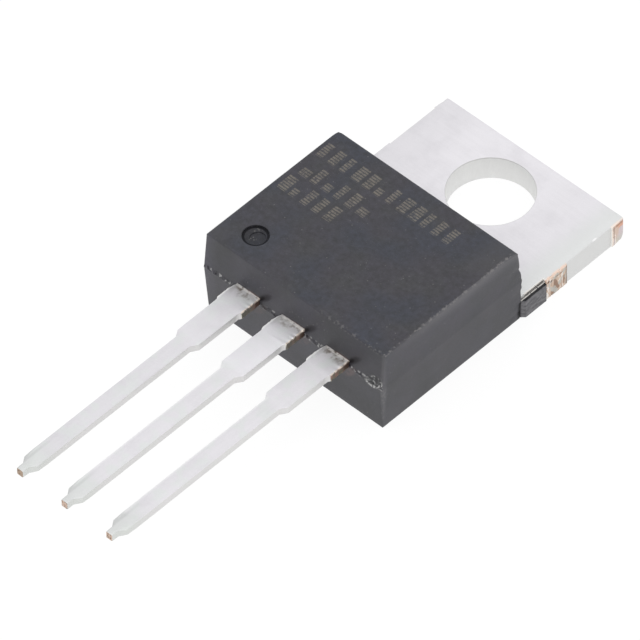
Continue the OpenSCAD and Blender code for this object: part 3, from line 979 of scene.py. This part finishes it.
# The left lead gets a little painted shade, beyond the plain tone of all three.
plate = tin_plate(lead_tin, (7.0, 0.3, 7.0)) * (0.97 - 0.03 * lead_tin.x.ramp(-1.5, -2.0))
plate = plate.toward(rgb(224, 229, 226), lead_tin.noise(0.7, 2.0).ramp(0.45, 0.65) * 0.5)
shoulder = from_body.within(0.9, 3.3, 0.4) * (0.3 + 0.7 * abs(lead_tin.x).ramp(1.2, 0.8))
plate = plate.toward(rgb(242, 241, 245), shoulder * lead_tin.x.ramp(1.6, 1.0) * 0.5)

# %% Stain the leads along the body, and paint shade and a highlight by their left edges
ragged = lead_tin.noise(0.16, 3.0, roughness=0.65)
root = (from_body + 0.35 * ragged).ramp(0.75, 0.25) * on_upper
patchy = lead_tin.noise(0.26, 3.0, lead_tin.place * (1.0, 0.7, 1.0), 0.6).ramp(0.46, 0.66)
plate = plate.toward(rgb(206, 202, 198), root * 0.4)
plate = plate.toward(rgb(128, 116, 106), root * patchy * 0.9)
at_body = from_body.ramp(0.13, 0.05) * on_upper * ragged.ramp(0.36, 0.5)
plate = plate.toward(rgb(250, 247, 243), at_body * 0.8)
# Inside the fold by the left edge the tin gets painted shade.
fold_shade = across.within(-0.62, -0.5, 0.12) * from_body.ramp(0.8, 0.3) * on_upper
plate = plate.toward(rgb(186, 183, 183), fold_shade * 0.35)
# The left edge of each stub gets a painted highlight.
left_edge_highlight = across.ramp(-0.57, -0.64) * on_upper * from_body.ramp(1.6, 1.2)
plate = plate.toward(rgb(255, 255, 255), left_edge_highlight * 0.9)

# %% Bare the stubs of the dam bar
STUB_LEN = 1.05
HALF_SHOULDER = 0.62

on_stub = from_body.ramp(STUB_LEN + 0.06, STUB_LEN)
on_stub = on_stub * abs(across).ramp(HALF_SHOULDER + 0.01, HALF_SHOULDER + 0.04)
brown = lead_tin.colour(116, 94, 86).toward(rgb(90, 86, 76), lead_tin.noise(0.4).ramp(0.42, 0.58))
plain_end = (from_body + 0.25 * lead_tin.x.ramp(-1.2, -1.6)).ramp(0.45, 0.8)
brown = brown.toward(rgb(86, 85, 79), plain_end * lead_tin.x.ramp(1.6, 1.2) * 0.85)
brown = brown.toward(rgb(62, 47, 40), (from_body + 0.6 * ragged).ramp(0.7, 0.35))
brown = brown.toward(rgb(152, 108, 54), lead_tin.specks(0.3, 0.09, 0.25) * 0.7)
brown = brown * (1.7 + 0.8 * lead_tin.noise(1.0, 3.0, lead_tin.place * (9.0, 9.0, 1.5)))
plate = plate.toward(brown, on_stub * abs(lead_tin.nx).ramp(0.35, 0.7))
burr = on_stub * lead_tin.z.ramp(LEAD_TOP - 0.07, LEAD_TOP - 0.02) * across.ramp(0.0, 0.1)
plate = plate.toward(rgb(243, 231, 219), burr * lead_tin.noise(0.09, 2.0).ramp(0.38, 0.5))
# The step at the front end of the stub gets a painted highlight.
step = on_stub * lead_tin.ny.ramp(-0.4, -0.7) * from_body.ramp(STUB_LEN - 0.08, STUB_LEN - 0.02)
plate = plate.toward(rgb(248, 246, 234), step)

# %% Paint shade on the sides and the coined tips
# The sides are painted greyer and a little darker than the top: painted shade.
sides = abs(lead_tin.nx).ramp(0.6, 0.9) * (1 - on_stub)
plate = plate.toward(rgb(225, 224, 222), sides * 0.7) * (1 - 0.05 * sides)
rolled = across.ramp(-0.29, -0.37) * from_body.ramp(3.5, 3.9) * lead_tin.x.ramp(-2.0, -1.0)
plate = plate.toward(rgb(246, 246, 247), rolled * on_upper * 0.5)
# The coined facets and a line along the crease inside them get painted shade.
coined_facet_shade = from_tip.ramp(1.5, 1.2) * lead_tin.nx.ramp(-0.12, -0.3) * on_upper
crease_shade = abs(across + 0.21).ramp(0.1, 0.02) * from_tip.ramp(2.6, 0.9) * on_upper
# Towards the tip the tin gets a greenish, darker painted shade.
plate = plate.toward(rgb(221, 226, 221), from_tip.ramp(2.4, 0.4) * 0.5)
plate = plate * (1 - 0.12 * coined_facet_shade) * (1 - 0.1 * crease_shade) * (1 - 0.05 * from_tip.ramp(3.0, 0.6))

# %% Bare the cut ends
at_end = from_tip.ramp(0.035, 0.01) * lead_tin.ny.ramp(-0.5, -0.85)
bare_end = lead_tin.colour(208, 184, 168)
bare_end = bare_end.toward(rgb(160, 140, 118), lead_tin.x.ramp(-1.0, -2.0) * 0.7)
bare_end = bare_end.toward(rgb(112, 92, 76), lead_tin.noise(0.12, 2.0).ramp(0.5, 0.64) * 0.9)
plate = plate.toward(bare_end, at_end)
lead_tin.set("Base Color", plate)
print("The leads' tin has", len(lead_tin.tree.nodes), "nodes")

# %% [markdown]
# All three leads are dressed alike, in one function. The edges of the strip are rounded by
# the die. The stub's left side leans in towards the body, where the bar bent before it broke, and
# its right side carries the burr. The coined facets of the tip keep their creases. A Bevel modifier
# could round the edges, but it would blunt the facets too.

# %% Cut a lead into cells and round it
LEAD_RADIUS = 0.03
CREASE = radians(8)
TIP_ZONE = 2
STUB_CELL = 0.06


def cut_lead(mesh, node, middle):
    """Cuts a lead into cells: wide ones on its length and shoulder, fine ones on its stub."""
    def on_lead(point):
        return point.y < FRONT + 0.02 and abs(point.x - middle) < PITCH / 2

    def on_stub_part(point):
        return on_lead(point) and point.y > FRONT - STUB_LEN - 0.1

    mesh.normal_update()
    for edge in mesh.edges:
        turn = edge.calc_face_angle(0)
        if CREASE < turn < SHARP and max(vertex.co.y for vertex in edge.verts) < LEAD_TIP + TIP_ZONE:
            edge.smooth = False
    cut_across(mesh, 1, steps(LEAD_TIP + 1.5, FRONT - 4.1, 0.5), on_lead)
    cut_across(mesh, 1, steps(FRONT - 3.3, FRONT - 1.4, 0.3), on_lead)
    cut_across(mesh, 1, steps(FRONT - STUB_LEN + 0.06, FRONT - 0.05, STUB_CELL), on_lead)
    cut_across(mesh, 0, [middle + x for x in (-0.48, -0.24, 0.0, 0.24, 0.48)], on_stub_part)
    cut_across(mesh, 2, [PARTING + z for z in (0.1, 0.19, 0.28)], on_stub_part)
    edges = [
        edge for edge in open_edges(mesh, node)
        if on_lead(edge.verts[0].co) and min(vertex.co.y for vertex in edge.verts) < FRONT - 0.02
    ]
    round_edges(mesh, edges, LEAD_RADIUS)


# %% Tear the stub of a dam bar
STUB_LEAN, STUB_LEAN_LEN = 0.1, 0.42
LEFT_ROUGH, RIGHT_ROUGH = 0.025, 0.03
BURR_HEIGHT = 0.05
ROOT_GAP = 0.035


def tear_stub(mesh, node, middle):
    """Leans and roughens the stub of a lead, raises its burr, and draws its root into the body."""
    for vertex in mesh.verts:
        place = vertex.co
        from_middle = place.x - middle
        beside = FRONT - STUB_LEN - 0.02 < place.y < FRONT + 0.001 and 0.6 < abs(from_middle) < 0.8
        if not beside or not shows(place, node):
            continue
        near_body = max(0.0, 1 - (FRONT - place.y) / STUB_LEAN_LEN)
        rough = noise.noise(Vector((place.y / 0.08, middle, place.z / 0.3)))
        if from_middle < 0:
            place.x += STUB_LEAN * near_body + LEFT_ROUGH * rough
        else:
            place.x += RIGHT_ROUGH * rough
            if place.z > LEAD_TOP - 0.04:
                place.z += BURR_HEIGHT * max(0.0, rough + 0.2)
        if place.y > FRONT - 0.001:
            place.y += ROOT_GAP


# %% Dress the outer leads
LEAD_ROUGH, LEAD_PATCH = 0.005, 0.9


def dress_lead(mesh, node, middle):
    """Cuts, rounds and tears one lead of a piece, then makes the piece slightly uneven."""
    cut_lead(mesh, node, middle)
    tear_stub(mesh, node, middle)
    roughen(mesh, node, LEAD_ROUGH, LEAD_PATCH)


for node, name, middle in (
    ("ground_lead", "ground_lead_strip", -PITCH),
    ("input_lead", "input_lead_strip", PITCH),
):
    lead = solid_mesh(node)
    dress_lead(lead, node, middle)
    set_down(lead, name, node, [lead_tin])

# %% [markdown]
# The tab starts from its solid too. In the imported solid the hole is a chain of short chords, which
# a hole that was punched with a round tool never shows. A Subdivision modifier would round the hole
# but also the tab's corners, so each chord is divided and its points are pushed out to the circle.

# %% Round the hole
tab = solid_mesh("heatsink_tab")


def from_axis(vertex):
    return hypot(vertex.co.x, vertex.co.y)


def is_level(edge):
    return abs(edge.verts[0].co.z - edge.verts[1].co.z) < WELD


chords = [
    edge for edge in tab.edges
    if is_level(edge) and all(abs(from_axis(vertex) - HOLE_R) < 0.01 for vertex in edge.verts)
]
bmesh.ops.subdivide_edges(tab, edges=chords, cuts=2, use_grid_fill=True)
for vertex in tab.verts:
    if abs(from_axis(vertex) - HOLE_R) < 0.02:
        vertex.co.xy *= HOLE_R / from_axis(vertex)
print("The hole has", 3 * len(chords) // 2, "sides")

# %% Tell the parts of the tab apart
HOLE_ROOM = 2.25
PAD_START = -9


def on_tab(point):
    """True on the tab outside the moulding, but not in the room round the hole."""
    by_hole = abs(point.x) < HOLE_ROOM and abs(point.y) < HOLE_ROOM
    return point.y > BODY_BACK and not by_hole


def on_tab_side(point):
    return point.y > TIE_NEAR and abs(point.x) > HALF_TAB - 0.01


def on_flat(point):
    return point.y > PAD_START and min(abs(point.z), abs(point.z - TAB_TOP)) < WELD


# %% Cut the tab into cells
TAB_CELL = 0.25
TEAR_CELL = 0.05
NEAR_EDGE = [4.65, 4.8, 4.9, 4.96]

across_tab = [-x for x in reversed(NEAR_EDGE)] + steps(-4.5, 4.5, TAB_CELL) + NEAR_EDGE
cut_across(tab, 1, [BODY_BACK + 0.01, -HOLE_ROOM, HOLE_ROOM], on_flat)
cut_across(tab, 0, [-HOLE_ROOM, HOLE_ROOM], lambda point: on_flat(point) and point.y > BODY_BACK)
cut_across(tab, 0, across_tab, on_tab)
cut_across(tab, 1, steps(-3.4, 2.6, TAB_CELL), on_tab)
cut_across(tab, 1, steps(TIE_NEAR + 0.06, TIE_FAR - 0.06, TEAR_CELL), on_tab_side)
cut_across(tab, 1, steps(CORNER_NEAR + 0.06, TAB_END - 0.06, TEAR_CELL), on_tab_side)
cut_across(tab, 2, steps(0.07, TAB_TOP - 0.07, 0.1), on_tab_side)
print("The tab has", len(tab.faces), "cells")

# %% [markdown]
# The punch drags the upper edge of the tab down before it cuts, which leaves a soft "die roll". The
# torn stubs are rougher towards the bottom, where the copper breaks instead of being cut, and the
# far corners lose a little at their foot. A bevel gives an even edge, so the roll is added to it.

# %% Round, roll and tear the tab
TAB_RADIUS = 0.03
ROLL_DEPTH, ROLL_WIDTH, ROLL_FOOT = 0.09, 0.45, 0.3
TEAR_BACK, TEAR_DEPTH, BREAK_START = 0.012, 0.03, 0.9
CORNER_CUT, CORNER_REACH, CORNER_TALL = 0.12, 0.3, 0.35

edges = [edge for edge in open_edges(tab, "heatsink_tab") if edge.verts[0].co.y > BODY_BACK]
round_edges(tab, edges, TAB_RADIUS)
for vertex in tab.verts:
    place = vertex.co
    if place.y < BODY_BACK or not shows(place, "heatsink_tab"):
        continue
    from_side = max(0.0, HALF_TAB + 0.03 - abs(place.x))
    from_end = max(0.0, TAB_END - place.y)
    roll = max(0.0, 1 - from_side / ROLL_WIDTH) ** 2
    roll = max(roll, 0.5 * max(0.0, 1 - from_end / ROLL_WIDTH) ** 2)
    rough = noise.noise(Vector((place.y / 0.09, place.x, place.z / 0.5)))
    if abs(place.x) > HALF_TAB + 0.012:
        broken = max(0.0, BREAK_START - place.z)
        torn_in = TEAR_BACK + TEAR_DEPTH * max(0.0, rough) + TEAR_DEPTH * broken * abs(rough)
        place.x -= copysign(torn_in, place.x)
    place.z -= ROLL_DEPTH * roll * max(0.0, place.z - ROLL_FOOT) / (TAB_TOP - ROLL_FOOT)
    if abs(place.x) > HALF_TAB - 0.4:
        foot = max(0.0, 1 - place.z / CORNER_TALL) ** 2
        place.y -= CORNER_CUT * max(0.0, 1 - from_end / CORNER_REACH) * foot

# %% Dress the middle lead and set the tab down
dress_lead(tab, "heatsink_tab", 0.0)
for face in tab.faces:
    face.material_index = int(face.calc_center_median().y < FRONT + 0.5)
set_down(tab, "tab_stamping", "heatsink_tab", [tab_tin, lead_tin])

# %% [markdown]
# The chip, its solder and the bond wires are sealed in the moulding and don't show. Their solids
# have the right shapes, so they stay, and each gets the finish of the real thing: polished silicon
# with its pattern of cells inside a guard ring, dull solder, and drawn aluminium wire.

# %% Polish the chip
GUARD_RING = 0.12
CELL_SIZE = 0.25

die_low, die_high = [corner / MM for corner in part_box("silicon_die")]
silicon = Finish("polished_silicon")
inputs = {"Vector": silicon.place, "Scale": 1 / CELL_SIZE}
cells = silicon.start.node("TexVoronoi", {"distance": "CHEBYCHEV"}, inputs, output=1)
active = silicon.x.within(die_low.x + GUARD_RING, die_high.x - GUARD_RING, 0.01)
active = active * silicon.y.within(die_low.y + GUARD_RING, die_high.y - GUARD_RING, 0.01)
active = active * silicon.z.ramp(die_high.z - 0.01, die_high.z - 0.005)
chance = silicon.parts(cells)[0]
pattern = silicon.colour(96, 104, 122).toward(rgb(150, 140, 112), chance.ramp(0.4, 0.6))
silicon.set("Base Color", silicon.colour(72, 78, 90).toward(pattern, active))
silicon.set("Metallic", 0.6)
silicon.set("Roughness", 0.16)

# %% Melt the solder and draw the wire
solder = Finish("dull_solder")
ripple = solder.noise(0.2, 2.0, distortion=1.5)
grey = solder.colour(150, 152, 156).toward(rgb(176, 176, 178), ripple.ramp(0.4, 0.7))
solder.set("Base Color", grey)
solder.set("Metallic", 1.0)
solder.set("Roughness", 0.4 + 0.3 * ripple)
solder.set("Normal", solder.bump(ripple, 0.01))

wire = Finish("drawn_aluminium")
drawn = wire.noise(0.05, 2.0, wire.place * (1.0, 1.0, 0.2))
wire.set("Base Color", wire.colour(214, 215, 218).toward(rgb(190, 191, 196), drawn.ramp(0.4, 0.65)))
wire.set("Metallic", 1.0)
wire.set("Roughness", 0.28 + 0.2 * drawn)

# %% Give the sealed solids their finishes
for node, finish in (("silicon_die", silicon), ("die_attach_solder", solder)):
    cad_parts[node].data.materials[0] = finish.material
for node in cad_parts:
    if node.endswith(("wire", "wire_1", "wire_2")):
        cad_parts[node].data.materials[0] = wire.material
